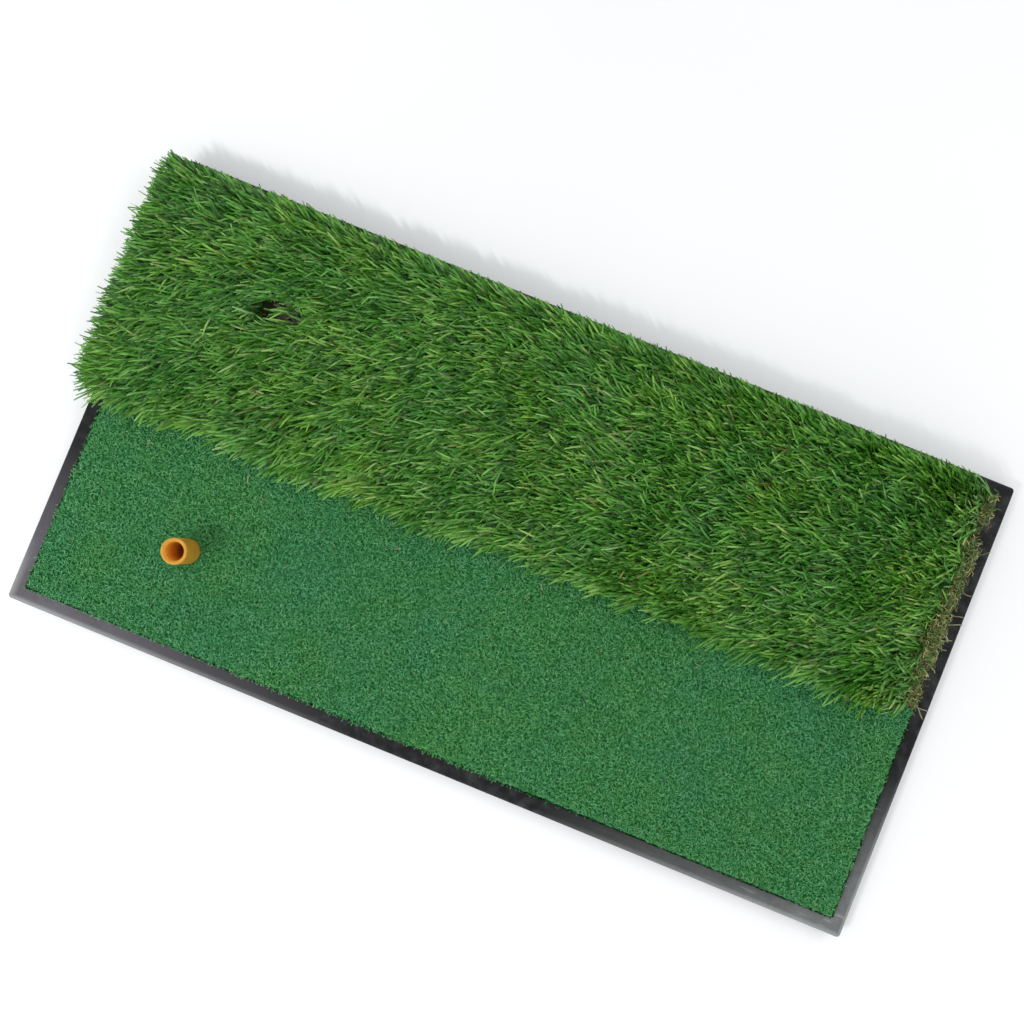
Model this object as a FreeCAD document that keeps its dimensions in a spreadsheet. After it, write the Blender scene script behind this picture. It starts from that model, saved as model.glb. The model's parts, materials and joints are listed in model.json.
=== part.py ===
"""Golf hitting mat: a moulded rubber tray that holds two strips of artificial turf and a rubber tee.

Frame, in millimetres: the origin is the centre of the underside, on the ground. +X runs along the
long side, away from the end with the tee holes, +Y runs from the fairway strip to the rough strip,
and +Z points up.
"""

import FreeCAD
import Part
import Sketcher
import os

SIZES = {
    # moulded rubber tray
    "mat_length": 610,
    "mat_width": 326,
    "corner_radius": 2.5,
    "rim_width": 12,
    "rim_top": 14,
    "rim_rounding": 2.2,
    "well_floor": 8,
    # grip grooves under the tray, with flat lands between them
    "groove_count": 24,
    "groove_pitch": 12,
    "groove_width": 7,
    "groove_depth": 2,
    "groove_margin": 16,
    # tee holes, one in each strip, each with a recess under it for a tee's flange
    "hole_from_centre": 200,
    "hole_from_midline": 87,
    "hole_radius": 9.2,
    "recess_radius": 21,
    "recess_depth": 3.5,
    "boss_radius": 27,
    # turf strips, in layers
    "turf_clearance": 0.4,
    "turf_hole_radius": 9.7,
    "glue_thickness": 0.4,
    "latex_thickness": 1.6,
    "cloth_thickness": 0.8,
    "fairway_pile_height": 11.2,
    "thatch_height": 11.2,
    "blade_height": 18,
    "blade_lean": 21,
    "blade_spread": 10,
    # rubber tee
    "tee_radius": 8.8,
    "tee_bore_radius": 6.4,
    "tee_lift": 0.3,
    "flange_radius": 20,
    "flange_thickness": 3,
    "flange_rounding": 0.8,
    "neck_bottom": 22.3,
    "neck_length": 10.6,
    "tee_top": 50.3,
    "seat_bevel": 1.1,
    "lip_rounding": 0.7,
}

# Expressions in the sheet's aliases, which are written with a space round each of them.
WELL_LENGTH = "( mat_length - 2 * rim_width )"
WELL_WIDTH = "( mat_width - 2 * rim_width )"
STRIP_LENGTH = f"( {WELL_LENGTH} - 2 * turf_clearance )"
STRIP_WIDTH = f"( {WELL_WIDTH} / 2 - 1.5 * turf_clearance )"
LATEX_BOTTOM = "( well_floor + glue_thickness )"
CLOTH_BOTTOM = f"( {LATEX_BOTTOM} + latex_thickness )"
PILE_BOTTOM = f"( {CLOTH_BOTTOM} + cloth_thickness )"
BLADE_BOTTOM = f"( {PILE_BOTTOM} + thatch_height )"
TUBE_BOTTOM = "( neck_bottom + neck_length )"

# The two strips: the sign of y on each one's side of the mid-line.
FAIRWAY = -1
ROUGH = 1

# The sketcher's own numbers for a sketch's origin and for the points of a line or a circle.
ORIGIN_POINT = (-1, 1)
START, END, CENTRE = 1, 2, 3

LENGTH_TOLERANCE = 1e-4

doc = FreeCAD.newDocument("golf_hitting_mat")

sheet = doc.addObject("Spreadsheet::Sheet", "Sizes")
for row, (alias, number) in enumerate(SIZES.items(), start=1):
    sheet.set(f"A{row}", alias)
    sheet.set(f"B{row}", str(number))
    sheet.setAlias(f"B{row}", alias)
doc.recompute()


# ------------------------------------------------------------------ helpers


def from_sheet(expression):
    """The expression with every alias read from the sheet, for use in another object."""
    words = expression.split()
    return " ".join(f"Sizes.{word}" if word in SIZES else word for word in words)


def value(expression):
    return float(sheet.evalExpression(expression))


def bind(item, **expressions):
    """Bind properties of an item to the sheet; a double underscore stands for a path's dot."""
    for path, expression in expressions.items():
        item.setExpression(path.replace("__", "."), from_sheet(expression))


def new_body(name, **expressions):
    body = doc.addObject("PartDesign::Body", name)
    body.Label = name
    bind(body, **expressions)
    return body


def new_sketch(body, name, plane="XY_Plane", **offset):
    """An empty sketch on one of the body's own origin planes, moved by offsets x, y and z."""
    sketch = body.newObject("Sketcher::SketchObject", name)
    support = next(item for item in body.Origin.OriginFeatures if item.Role == plane)
    sketch.AttachmentSupport = [(support, "")]
    sketch.MapMode = "FlatFace"
    for direction, expression in offset.items():
        bind(sketch, **{f"AttachmentOffset__Base__{direction}": expression})
    return sketch


def add_distance(sketch, kind, low, high, expression):
    """Hold two points a bound distance apart along x or y; the second lies further along."""
    first = sketch.addConstraint(Sketcher.Constraint(kind, *low, *high, value(expression)))
    sketch.setExpression(f"Constraints[{first}]", from_sheet(expression))


def draw_polygon(sketch, points):
    """A closed outline through points given as pairs of expressions, none of them negative."""
    corners = [FreeCAD.Vector(value(across), value(up), 0) for across, up in points]
    count = len(corners)
    for index in range(count):
        sketch.addGeometry(Part.LineSegment(corners[index], corners[(index + 1) % count]))
    for index, (across, up) in enumerate(points):
        following = (index + 1) % count
        sketch.addConstraint(Sketcher.Constraint("Coincident", index, END, following, START))
        add_distance(sketch, "DistanceX", ORIGIN_POINT, (index, START), across)
        add_distance(sketch, "DistanceY", ORIGIN_POINT, (index, START), up)


def draw_rectangle(sketch, length, width):
    """A rectangle centred on the sketch's origin."""
    x, y = value(length) / 2, value(width) / 2
    corners = [FreeCAD.Vector(*pair, 0) for pair in ((-x, -y), (x, -y), (x, y), (-x, y))]
    for index in range(4):
        sketch.addGeometry(Part.LineSegment(corners[index], corners[(index + 1) % 4]))
    for index in range(4):
        following = (index + 1) % 4
        sketch.addConstraint(Sketcher.Constraint("Coincident", index, END, following, START))
        sketch.addConstraint(Sketcher.Constraint("Vertical" if index % 2 else "Horizontal", index))
    sketch.addConstraint(Sketcher.Constraint("Symmetric", 0, START, 2, START, *ORIGIN_POINT))
    add_distance(sketch, "DistanceX", (0, START), (0, END), length)
    add_distance(sketch, "DistanceY", (1, START), (1, END), width)


def draw_circle(sketch, radius, side):
    """A circle on the axis of the tee hole in the strip on one side of the mid-line."""
    centre = FreeCAD.Vector(-value("hole_from_centre"), side * value("hole_from_midline"), 0)
    index = sketch.addGeometry(Part.Circle(centre, FreeCAD.Vector(0, 0, 1), value(radius)))
    size = sketch.addConstraint(Sketcher.Constraint("Radius", index, value(radius)))
    sketch.setExpression(f"Constraints[{size}]", from_sheet(radius))
    middle = (index, CENTRE)
    low, high = (ORIGIN_POINT, middle) if side == ROUGH else (middle, ORIGIN_POINT)
    add_distance(sketch, "DistanceX", middle, ORIGIN_POINT, "hole_from_centre")
    add_distance(sketch, "DistanceY", low, high, "hole_from_midline")


def add_feature(body, kind, name, sketch, upward=None, **expressions):
    """A PartDesign feature made from a sketch. A Pad goes up by itself and a Pocket goes down."""
    feature = body.newObject(f"PartDesign::{kind}", name)
    feature.Profile = sketch
    sketch.Visibility = False
    if upward is not None:
        feature.Reversed = upward if kind == "Pocket" else not upward
    bind(feature, **expressions)
    return feature


def dress(body, kind, name, edge_test, **expressions):
    """A Fillet or Chamfer of the body's tip, on every edge that passes a test."""
    doc.recompute()
    base = body.Tip
    edges = base.Shape.Edges
    names = [f"Edge{index}" for index, edge in enumerate(edges, start=1) if edge_test(edge)]
    feature = body.newObject(f"PartDesign::{kind}", name)
    feature.Base = (base, names)
    bind(feature, **expressions)
    return feature


def stands_upright(edge):
    """Whether both ends of an edge are on one vertical line."""
    low, high = edge.firstVertex().Point, edge.lastVertex().Point
    return (low - high).Length > LENGTH_TOLERANCE and abs(low.z - high.z) > LENGTH_TOLERANCE


def lies_at(edge, height, radius=None):
    """Whether an edge lies level at a height, and on a circle of a radius if one is given."""
    box = edge.BoundBox
    level = abs(box.ZMin - height) < LENGTH_TOLERANCE and abs(box.ZMax - height) < LENGTH_TOLERANCE
    if radius is None or not level:
        return level
    return isinstance(edge.Curve, Part.Circle) and abs(edge.Curve.Radius - radius) < LENGTH_TOLERANCE


# ------------------------------------------------------------------ rubber tray


def make_tray():
    """A flat tray with a rim, grip grooves below, and a flanged hole for a tee in each strip."""
    body = new_body("base_tray")

    outline = new_sketch(body, "tray_outline")
    draw_rectangle(outline, "mat_length", "mat_width")
    add_feature(body, "Pad", "tray_blank", outline, Length="rim_top")
    dress(body, "Fillet", "tray_corners", stands_upright, Radius="corner_radius")
    dress(
        body,
        "Fillet",
        "rim_outer_edge",
        lambda edge: lies_at(edge, value("rim_top")),
        Radius="rim_rounding",
    )

    well = new_sketch(body, "well_outline", z="rim_top")
    draw_rectangle(well, WELL_LENGTH, WELL_WIDTH)
    add_feature(body, "Pocket", "turf_well", well, upward=False, Length="rim_top - well_floor")

    groove = new_sketch(body, "groove_outline", y="groove_pitch * ( 1 - groove_count ) / 2")
    draw_rectangle(groove, "mat_length - 2 * groove_margin", "groove_width")
    first = add_feature(body, "Pocket", "first_groove", groove, upward=True, Length="groove_depth")
    rows = body.newObject("PartDesign::LinearPattern", "grip_grooves")
    rows.Originals = [first]
    rows.Direction = (groove, ["V_Axis"])
    bind(rows, Length="groove_pitch * ( groove_count - 1 )", Occurrences="groove_count")
    body.Tip = rows

    for kind, name, radius, depth in (
        ("Pad", "hole_bosses", "boss_radius", "groove_depth"),
        ("Pocket", "flange_recesses", "recess_radius", "recess_depth"),
        ("Pocket", "tee_holes", "hole_radius", "well_floor"),
    ):
        circles = new_sketch(body, f"{name}_outline")
        draw_circle(circles, radius, FAIRWAY)
        draw_circle(circles, radius, ROUGH)
        add_feature(body, kind, name, circles, upward=True, Length=depth)
    return body


# ------------------------------------------------------------------ turf strips


def make_layer(name, side, bottom, thickness, hole_radius):
    """A flat slab that covers one strip of the well, with the strip's tee hole through it."""
    gap = "turf_clearance / 2"
    slab = doc.addObject("Part::Box", f"{name}_slab")
    bind(slab, Length=STRIP_LENGTH, Width=STRIP_WIDTH, Height=thickness)
    bind(
        slab,
        Placement__Base__x=f"- {STRIP_LENGTH} / 2",
        Placement__Base__y=gap if side == ROUGH else f"- {STRIP_WIDTH} - {gap}",
        Placement__Base__z=bottom,
    )
    drill = doc.addObject("Part::Cylinder", f"{name}_drill")
    bind(drill, Radius=hole_radius, Height=thickness)
    bind(
        drill,
        Placement__Base__x="- hole_from_centre",
        Placement__Base__y=f"{side} * hole_from_midline",
        Placement__Base__z=bottom,
    )
    layer = doc.addObject("Part::Cut", name)
    layer.Label = name
    layer.Base = slab
    layer.Tool = drill
    return layer


def make_rough_blades():
    """The leaning blades above the thatch: one block that slants to -X and spreads as it rises."""
    body = new_body("rough_blades")
    middle = f"( {STRIP_WIDTH} + turf_clearance ) / 2"
    root = new_sketch(body, "blade_roots", y=middle, z=BLADE_BOTTOM)
    draw_rectangle(root, STRIP_LENGTH, STRIP_WIDTH)
    tips = new_sketch(
        body, "blade_tips", x="- blade_lean", y=middle, z=f"{BLADE_BOTTOM} + blade_height"
    )
    draw_rectangle(tips, STRIP_LENGTH, f"{STRIP_WIDTH} + 2 * blade_spread")
    block = add_feature(body, "AdditiveLoft", "leaning_block", root)
    block.Sections = [tips]
    tips.Visibility = False
    doc.recompute()
    opening = new_sketch(body, "blade_hole_outline", z=BLADE_BOTTOM)
    draw_circle(opening, "turf_hole_radius", ROUGH)
    add_feature(body, "Pocket", "blade_hole", opening, upward=True, Length="blade_height")
    return body


def make_turf():
    layers = []
    for strip, side in (("fairway", FAIRWAY), ("rough", ROUGH)):
        layers += [
            make_layer(f"{strip}_glue", side, "well_floor", "glue_thickness", "turf_hole_radius"),
            make_layer(f"{strip}_latex", side, LATEX_BOTTOM, "latex_thickness", "turf_hole_radius"),
            make_layer(f"{strip}_cloth", side, CLOTH_BOTTOM, "cloth_thickness", "turf_hole_radius"),
        ]
    layers += [
        make_layer("fairway_pile", FAIRWAY, PILE_BOTTOM, "fairway_pile_height", "turf_hole_radius"),
        make_layer("rough_thatch", ROUGH, PILE_BOTTOM, "thatch_height", "turf_hole_radius"),
        make_rough_blades(),
    ]
    return layers


# ------------------------------------------------------------------ rubber tee


def turn_tee_section(name, outline):
    """Revolve an outline of (radius, height) pairs about the tee's axis, in the fairway's hole."""
    body = new_body(
        name,
        Placement__Base__x="- hole_from_centre",
        Placement__Base__y=f"{FAIRWAY} * hole_from_midline",
    )
    section = new_sketch(body, f"{name}_outline", plane="XZ_Plane")
    draw_polygon(section, outline)
    turned = add_feature(body, "Revolution", f"{name}_turned", section)
    turned.ReferenceAxis = (section, ["V_Axis"])
    turned.Angle = 360
    return body


def make_tee():
    """A hollow tee in three lengths: a flanged foot, a neck that bends, and an upright tube."""
    flange_top = "( tee_lift + flange_thickness )"
    foot = turn_tee_section(
        "tee_foot",
        [
            ("tee_bore_radius", "tee_lift"),
            ("flange_radius", "tee_lift"),
            ("flange_radius", flange_top),
            ("tee_radius", flange_top),
            ("tee_radius", "neck_bottom"),
            ("tee_bore_radius", "neck_bottom"),
        ],
    )
    flange_edges = (value("tee_lift"), value(flange_top))
    dress(
        foot,
        "Fillet",
        "flange_edges",
        lambda edge: any(lies_at(edge, height, value("flange_radius")) for height in flange_edges),
        Radius="flange_rounding",
    )
    neck = turn_tee_section(
        "tee_neck",
        [
            ("tee_bore_radius", "neck_bottom"),
            ("tee_radius", "neck_bottom"),
            ("tee_radius", TUBE_BOTTOM),
            ("tee_bore_radius", TUBE_BOTTOM),
        ],
    )
    tube = turn_tee_section(
        "tee_tube",
        [
            ("tee_bore_radius", TUBE_BOTTOM),
            ("tee_radius", TUBE_BOTTOM),
            ("tee_radius", "tee_top"),
            ("tee_bore_radius + seat_bevel", "tee_top"),
            ("tee_bore_radius", "tee_top - seat_bevel"),
        ],
    )
    dress(
        tube,
        "Fillet",
        "lip_edge",
        lambda edge: lies_at(edge, value("tee_top"), value("tee_radius")),
        Radius="lip_rounding",
    )
    return [foot, neck, tube]


# ------------------------------------------------------------------ build, check and write


def check_document(nodes):
    """Stop if anything in the document failed, or if a cut took nothing away."""
    for item in doc.Objects:
        if {"Invalid", "Error"} & set(item.State):
            raise RuntimeError(f"{item.Label} failed: {item.State}")
        if item.TypeId == "PartDesign::Pocket":
            if item.Shape.Volume >= item.BaseFeature.Shape.Volume - LENGTH_TOLERANCE:
                raise RuntimeError(f"{item.Label} cut nothing")
    for node in nodes:
        if node.Shape.isNull() or not node.Shape.isValid() or len(node.Shape.Solids) != 1:
            raise RuntimeError(f"{node.Label} is not one valid solid")


def main():
    nodes = [make_tray(), *make_turf(), *make_tee()]
    doc.recompute()
    check_document(nodes)
    os.makedirs("parts", exist_ok=True)
    for node in nodes:
        node.Shape.exportStep(f"parts/{node.Label}.step")
        box = node.Shape.BoundBox
        print(f"{node.Label}: {node.Shape.Volume / 1000:.1f} cm3, z {box.ZMin:.2f} to {box.ZMax:.2f}")


main()
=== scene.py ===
"""The golf hitting mat's looks: turf grown as separate fibres, a dusty rubber tray and a rubber tee.

Everything is in metres, in the part's own frame: +X along the mat, +Y from the fairway strip to
the rough strip, +Z up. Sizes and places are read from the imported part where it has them.
"""

import json
import math
from typing import NamedTuple

import bmesh
import bpy
import numpy as np
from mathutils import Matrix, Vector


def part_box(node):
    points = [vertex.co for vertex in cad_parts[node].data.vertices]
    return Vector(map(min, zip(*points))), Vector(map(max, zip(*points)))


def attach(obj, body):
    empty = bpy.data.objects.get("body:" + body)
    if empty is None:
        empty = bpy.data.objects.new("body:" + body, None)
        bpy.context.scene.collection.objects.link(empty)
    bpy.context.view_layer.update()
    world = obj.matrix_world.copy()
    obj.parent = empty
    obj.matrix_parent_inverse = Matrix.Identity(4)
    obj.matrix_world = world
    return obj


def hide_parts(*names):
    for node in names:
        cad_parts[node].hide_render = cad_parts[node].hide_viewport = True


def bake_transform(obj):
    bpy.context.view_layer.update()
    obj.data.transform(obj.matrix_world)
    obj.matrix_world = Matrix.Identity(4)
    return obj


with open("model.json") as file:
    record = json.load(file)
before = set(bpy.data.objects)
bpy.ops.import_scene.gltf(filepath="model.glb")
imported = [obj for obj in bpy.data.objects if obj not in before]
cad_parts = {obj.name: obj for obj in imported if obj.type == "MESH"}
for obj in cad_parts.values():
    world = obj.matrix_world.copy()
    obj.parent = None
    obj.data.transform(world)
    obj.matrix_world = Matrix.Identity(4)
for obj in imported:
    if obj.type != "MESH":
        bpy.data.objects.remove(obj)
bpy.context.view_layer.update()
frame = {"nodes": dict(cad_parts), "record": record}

MM = 0.001
TINY = 1e-6
UP = np.array([0.0, 0.0, 1.0])

# ---- places read from the part


def corners(node):
    """The low and the high corner of a CAD node's box."""
    return (np.array(corner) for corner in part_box(node))


TRAY_LOW, TRAY_HIGH = corners("base_tray")
FAIRWAY_LOW, FAIRWAY_HIGH = corners("fairway_pile")
ROUGH_LOW, ROUGH_HIGH = corners("rough_thatch")
FOOT_LOW, FOOT_HIGH = corners("tee_foot")
TUBE_LOW, TUBE_HIGH = corners("tee_tube")
MOUNTS = {mount["name"]: mount for mount in frame["record"]["mounts"]}
TEE_AXIS = (TUBE_LOW[:2] + TUBE_HIGH[:2]) / 2
ROUGH_HOLE = np.array(MOUNTS["rough_tee_hole"]["pos_m"][:2])
TEE_RADIUS = (TUBE_HIGH[0] - TUBE_LOW[0]) / 2
TURF_HOLE_RADIUS = 9.7 * MM


# ---- materials


def srgb(red, green, blue):
    """A colour given as 0 to 255 display values, as the linear colour that a shader takes."""
    channels = []
    for level in (red, green, blue):
        share = level / 255
        low = share <= 0.04045
        channels.append(share / 12.92 if low else ((share + 0.055) / 1.055) ** 2.4)
    return (*channels, 1.0)


class Shader:
    """A node material under construction. Each method adds one node and returns its output."""

    def __init__(self, name):
        self.material = bpy.data.materials.new(name)
        self.material.use_nodes = True
        self.tree = self.material.node_tree
        self.surface = self.tree.nodes["Principled BSDF"]

    def feed(self, socket, source):
        if isinstance(source, bpy.types.NodeSocket):
            self.tree.links.new(source, socket)
        else:
            socket.default_value = source

    def add(self, kind, inputs, output=0, **settings):
        node = self.tree.nodes.new(f"ShaderNode{kind}")
        for key, setting in settings.items():
            setattr(node, key, setting)
        for key, source in inputs.items():
            self.feed(node.inputs[key], source)
        return node.outputs[output]

    def place(self):
        return self.add("TexCoord", {}, output="Object")

    def stretch(self, vector, scale):
        return self.add("Mapping", {"Vector": vector, "Scale": scale})

    def attribute(self, name):
        return self.add("Attribute", {}, output="Fac", attribute_name=name)

    def noise(self, vector, scale, detail=2.0, roughness=0.5):
        inputs = {"Vector": vector, "Scale": scale, "Detail": detail, "Roughness": roughness}
        return self.add("TexNoise", inputs, output="Fac")

    def own_noise(self, vector, scale, seed):
        """Noise that differs from one fibre to the next, by the fibre's seed."""
        fourth = self.math("MULTIPLY", seed, 40.0)
        inputs = {"Vector": vector, "Scale": scale, "Detail": 2.0, "W": fourth}
        return self.add("TexNoise", inputs, output="Fac", noise_dimensions="4D")

    def math(self, operation, first, second=0.0, clamp=False):
        return self.add("Math", {0: first, 1: second}, operation=operation, use_clamp=clamp)

    def remap(self, source, low, high, to_low=0.0, to_high=1.0):
        inputs = {0: source, 1: low, 2: high, 3: to_low, 4: to_high}
        return self.add("MapRange", inputs, clamp=True)

    def mix(self, share, first, second, blend="MIX"):
        inputs = {0: share, 6: first, 7: second}
        return self.add("Mix", inputs, output=2, data_type="RGBA", blend_type=blend)

    def ramp(self, source, stops):
        node = self.tree.nodes.new("ShaderNodeValToRGB")
        self.feed(node.inputs[0], source)
        elements = node.color_ramp.elements
        while len(elements) < len(stops):
            elements.new(0.5)
        for element, (position, colour) in zip(elements, stops):
            element.position = position
            element.color = colour
        return node.outputs[0]

    def bump(self, height, strength, distance):
        inputs = {"Height": height, "Strength": strength, "Distance": distance}
        self.feed(self.surface.inputs["Normal"], self.add("Bump", inputs))

    def finish(self, **sockets):
        for key, source in sockets.items():
            self.feed(self.surface.inputs[key.replace("_", " ")], source)
        return self.material


def make_fibre_material(name, colours, patch_tints, painted_root_shade, roughness, painted_glint_strength=0.0):
    """Yarn: each fibre's own colour, a tint drifting over the mat, streaks, painted shade at roots.

    A fibre's seed picks its colour from the ramp of colours. The glint strength sets how much a fibre
    is painted paler and darker in short stretches along its length: painted highlights and painted
    shade.
    """
    shader = Shader(name)
    place = shader.place()
    seed = shader.attribute("fibre_seed")
    own = shader.ramp(seed, colours)
    patches = shader.remap(shader.noise(place, scale=24.0, detail=3.0), 0.36, 0.64)
    tinted = shader.mix(patches, *patch_tints)
    colour = shader.mix(1.0, own, tinted, blend="MULTIPLY")
    # painted shade: each fibre is darker towards its root, for the shade down in the pile
    along = shader.attribute("fibre_along")
    depth = shader.remap(along, 0.1, 0.9, painted_root_shade, 1.0)
    shaded = shader.add("CombineColor", {0: depth, 1: depth, 2: depth})
    colour = shader.mix(1.0, colour, shaded, blend="MULTIPLY")
    # painted highlights and painted shade: short stretches of each fibre are painted pale and dark, for
    # glints and shade along its bends
    glint_and_shade_noise = shader.own_noise(place, scale=210.0, seed=seed)
    dark, painted_highlight_colour = srgb(24, 54, 14), srgb(152, 192, 118)
    colour = shader.mix(shader.remap(glint_and_shade_noise, 0.47, 0.30, 0.0, 0.7 * painted_glint_strength), colour, dark)
    colour = shader.mix(shader.remap(glint_and_shade_noise, 0.52, 0.70, 0.0, 0.5 * painted_glint_strength), colour, painted_highlight_colour)
    streaks = shader.noise(shader.stretch(place, (900.0, 900.0, 300.0)), scale=1.0, detail=3.0)
    colour = shader.mix(
        shader.remap(streaks, 0.35, 0.65, 0.0, 0.35), colour, srgb(225, 235, 190), blend="SOFT_LIGHT"
    )
    gloss = shader.remap(streaks, 0.3, 0.7, roughness - 0.08, roughness + 0.12)
    shader.bump(streaks, 0.25, 0.1 * MM)
    return shader.finish(Base_Color=colour, Roughness=gloss, Specular_IOR_Level=0.5)


def make_rubber_material(name):
    """Black moulded rubber: fine pebble grain, with grey dust and scuffs at the two front corners."""
    shader = Shader(name)
    place = shader.place()
    split = shader.add("SeparateXYZ", {"Vector": place}).node
    x_place, y_place, z_place = split.outputs
    left, right = float(TRAY_LOW[0]), float(TRAY_HIGH[0])
    front, top = float(TRAY_LOW[1]), float(TRAY_HIGH[2])
    grain = shader.noise(place, scale=1400.0, detail=3.0, roughness=0.6)
    blotches = shader.noise(place, scale=38.0, detail=5.0, roughness=0.65)
    smears = shader.noise(place, scale=130.0, detail=4.0)
    scratches = shader.noise(shader.stretch(place, (60.0, 420.0, 60.0)), scale=1.0, detail=4.0)

    near_left = shader.remap(x_place, -0.05, left + 0.03)
    near_right = shader.remap(x_place, 0.08, right - 0.02)
    ends = shader.math("MAXIMUM", near_left, near_right)
    handled = shader.math("MULTIPLY", ends, shader.remap(y_place, -0.045, front + 0.03))
    settled = shader.remap(z_place, top - 4 * MM, top - 1 * MM, 0.3, 1.0)
    handled = shader.math("MULTIPLY", handled, settled)
    patchy = shader.remap(blotches, 0.35, 0.65, 0.66, 1.0)
    dust = shader.math("MULTIPLY", handled, patchy, clamp=True)
    worn = shader.remap(shader.math("MULTIPLY", blotches, smears), 0.2, 0.42, 0.0, 0.2)
    dust = shader.math("MAXIMUM", dust, worn, clamp=True)
    grey = shader.mix(shader.remap(x_place, -0.1, 0.1), srgb(112, 108, 114), srgb(126, 129, 127))
    colour = shader.mix(dust, srgb(13, 13, 14), grey)

    # the outer lip near the front corners is painted paler: partly wear, partly a painted highlight on
    # the chamfer
    front_lip = shader.remap(y_place, front + 4 * MM, front + 2 * MM)
    right_lip = shader.remap(x_place, right - 3 * MM, right - 1.5 * MM)
    left_lip = shader.remap(x_place, left + 6 * MM, left + 1.5 * MM)
    left_corner = shader.remap(y_place, front + 48 * MM, front + 13 * MM)
    left_lip = shader.math("MULTIPLY", left_lip, left_corner)
    lip = shader.math("MAXIMUM", shader.math("MAXIMUM", front_lip, right_lip), left_lip)
    lip_wear_and_highlight = shader.math("MULTIPLY", shader.math("MULTIPLY", lip, handled), 0.55)
    scuffed = shader.math("MULTIPLY", handled, near_right)
    scuffs = shader.math("MULTIPLY", shader.remap(scratches, 0.58, 0.7, 0.0, 0.45), scuffed)
    colour = shader.mix(shader.math("MAXIMUM", lip_wear_and_highlight, scuffs, clamp=True), colour, srgb(172, 174, 172))
    colour = shader.mix(shader.remap(grain, 0.4, 0.7, 0.0, 0.22), colour, srgb(44, 44, 46))
    gloss = shader.remap(blotches, 0.3, 0.7, 0.5, 0.72)
    shader.bump(grain, 0.35, 0.25 * MM)
    return shader.finish(Base_Color=colour, Roughness=gloss, Specular_IOR_Level=0.22)


def make_tee_material(name):
    """Amber rubber, a little cloudy, with faint flow marks and a waxy sheen."""
    shader = Shader(name)
    place = shader.place()
    clouds = shader.noise(place, scale=160.0, detail=4.0, roughness=0.6)
    flow = shader.noise(shader.stretch(place, (500.0, 500.0, 60.0)), scale=1.0, detail=3.0)
    colour = shader.ramp(
        clouds,
        [(0.25, srgb(192, 138, 36)), (0.55, srgb(206, 152, 46)), (0.8, srgb(218, 168, 66))],
    )
    colour = shader.mix(shader.remap(flow, 0.4, 0.7, 0.0, 0.25), colour, srgb(176, 118, 30))
    # painted light: the bore is coloured paler and brighter than the rest, for light glowing through
    # the rubber into it
    colour = shader.mix(shader.attribute("tee_bore"), colour, srgb(244, 188, 80))
    gloss = shader.remap(clouds, 0.3, 0.7, 0.42, 0.58)
    shader.bump(flow, 0.15, 0.2 * MM)
    return shader.finish(
        Base_Color=colour,
        Roughness=gloss,
        Specular_IOR_Level=0.4,
        Subsurface_Weight=0.5,
        Subsurface_Radius=(1.0, 0.7, 0.25),
        Subsurface_Scale=5.0 * MM,
    )


def make_pile_shade_material(name, dark, light):
    """The depth of a pile, seen only between its fibres, in darker colours as painted shade."""
    shader = Shader(name)
    place = shader.place()
    speckle = shader.noise(place, scale=700.0, detail=3.0, roughness=0.7)
    # painted shade: the pile's body is coloured darker than its fibres, for the shade down among them
    colour = shader.ramp(speckle, [(0.35, dark), (0.65, light)])
    shader.bump(speckle, 0.6, 0.6 * MM)
    return shader.finish(Base_Color=colour, Roughness=0.9, Specular_IOR_Level=0.2)


def make_weave_material(name, dark, light, roughness):
    """Slit-tape cloth: two crossed sets of ridges."""
    shader = Shader(name)
    place = shader.place()
    warp = shader.add("TexWave", {"Vector": place, "Scale": 260.0}, output="Fac", bands_direction="X")
    weft = shader.add("TexWave", {"Vector": place, "Scale": 200.0}, output="Fac", bands_direction="Y")
    over = shader.math("MAXIMUM", warp, weft)
    weave_patches = shader.noise(place, scale=60.0, detail=4.0)
    # painted light and shade: the raised ridges are coloured lighter than the grooves between them, in
    # patches
    colour = shader.mix(shader.math("MULTIPLY", over, weave_patches, clamp=True), dark, light)
    shader.bump(over, 0.5, 0.3 * MM)
    return shader.finish(Base_Color=colour, Roughness=roughness)


def make_coat_material(name, dark, light, roughness):
    """A poured coat or a spread adhesive, with a mottled skin."""
    shader = Shader(name)
    place = shader.place()
    mottle = shader.noise(place, scale=90.0, detail=6.0, roughness=0.7)
    colour = shader.mix(shader.remap(mottle, 0.35, 0.65), dark, light)
    shader.bump(mottle, 0.4, 0.5 * MM)
    return shader.finish(Base_Color=colour, Roughness=roughness)


# ---- meshes


def add_object(name, data):
    """A new object in the scene."""
    thing = bpy.data.objects.new(name, data)
    bpy.context.scene.collection.objects.link(thing)
    return thing


def make_object(name, mesh, material, body, slot):
    """A new piece of the object, with its material, riding on a CAD body where one is named."""
    mesh.materials.append(material)
    piece = add_object(name, mesh)
    if body:
        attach(piece, body)
    return piece


def smooth_field(rng, rows, columns, grain):
    """Smooth random heights with a standard deviation of 1 and lumps about grain cells across."""
    waves = np.fft.rfft2(rng.standard_normal((rows, columns)))
    across = np.fft.fftfreq(rows)[:, None]
    along = np.fft.rfftfreq(columns)[None, :]
    waves *= np.exp(-2 * (math.pi * grain / 2) ** 2 * (across**2 + along**2))
    field = np.fft.irfft2(waves, s=(rows, columns))
    return field / field.std()


def nearness(distance, reach):
    """1 at no distance, and evenly less until it is 0 at reach."""
    return np.clip(1 - distance / reach, 0, 1)


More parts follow.
